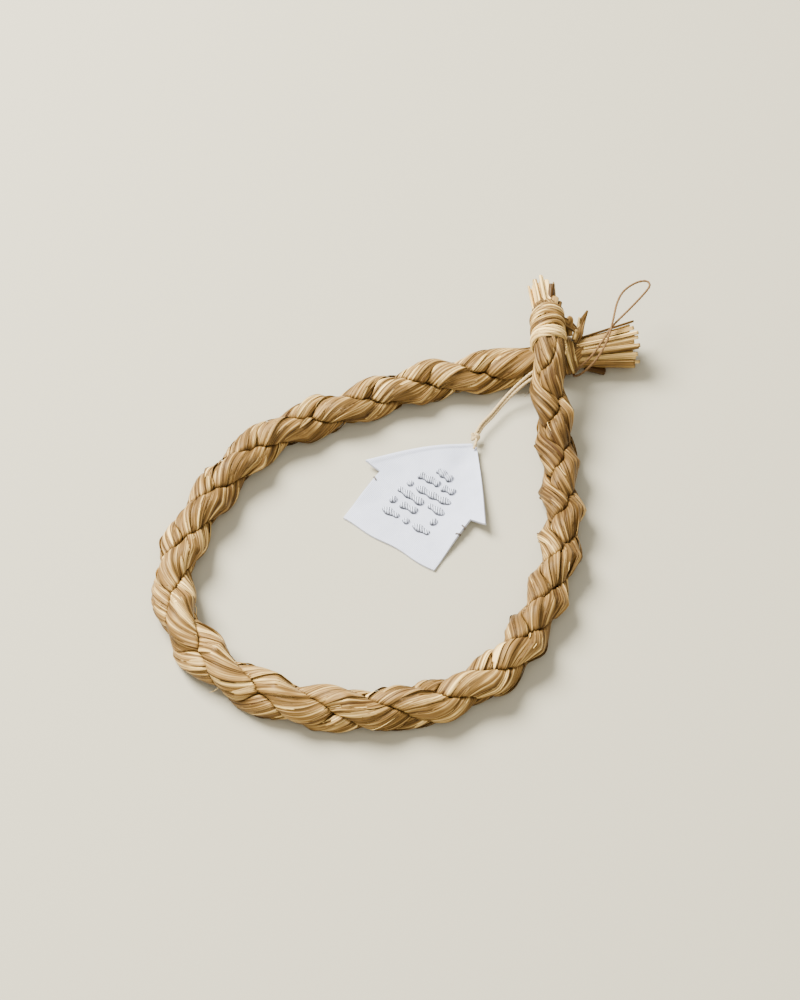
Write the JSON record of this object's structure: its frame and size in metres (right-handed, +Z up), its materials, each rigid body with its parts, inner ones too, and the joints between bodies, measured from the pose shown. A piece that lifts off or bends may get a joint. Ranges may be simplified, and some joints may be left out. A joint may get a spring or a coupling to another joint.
{
  "type": "straw rope ornament",
  "caption": "Plaited straw rope bent into a teardrop loop, tied where its ends cross, with a thin hanging loop and a house-shaped cloth tag on a string.",
  "frame": {"origin": "on the plane the ornament lies on, under the middle of the rope, its tie and its tag", "axes": "+Z up from that plane, +Y from the belly of the loop to the tie, +X to the right seen from above with the tie away"},
  "size_m": [0.127, 0.2076, 0.025],
  "materials": {
    "straw": "dry cut straw, pale gold with tan and brown leaves, slight sheen",
    "tie_straw": "flattened straw strip, pale gold",
    "hanging_cord": "thin twisted cord, tan",
    "tag_string": "twisted two-ply string, cream",
    "cotton": "white woven cotton with raised silver-white satin stitches"
  },
  "bodies": {
    "root": {"straw_strand.001": "straw", "straw_strand.002": "straw", "straw_strand.003": "straw", "straw_tie": "tie_straw", "hanging_cord": "hanging_cord", "tag_string.001": "tag_string", "tag_string.002": "tag_string", "string_knot": "tag_string", "house_tag": "cotton"}
  },
  "joints": []
}
